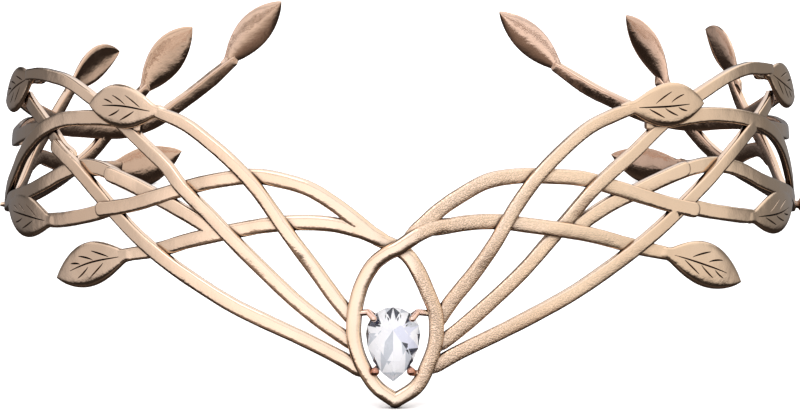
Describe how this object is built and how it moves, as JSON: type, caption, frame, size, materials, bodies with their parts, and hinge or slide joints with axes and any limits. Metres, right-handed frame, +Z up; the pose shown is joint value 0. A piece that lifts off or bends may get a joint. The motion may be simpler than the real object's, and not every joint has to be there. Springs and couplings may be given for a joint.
{
  "type": "leaf tiara",
  "caption": "Open head band of crossing soldered metal strands with almond leaves and a clear pear-cut stone in a pointed centre loop.",
  "frame": {"origin": "middle of the band's outline, on the surface that the tiara stands on", "axes": "+Z up, -Y toward the front with the centre loop and stone, +X to the right seen from the front"},
  "size_m": [0.1621, 0.1673, 0.0556],
  "materials": {
    "rose_gold": "satin rose-gold plate",
    "clear_stone": "polished facets"
  },
  "bodies": {
    "root": {"leaf_frame": "rose_gold", "pear_stone": "clear_stone"}
  },
  "joints": []
}
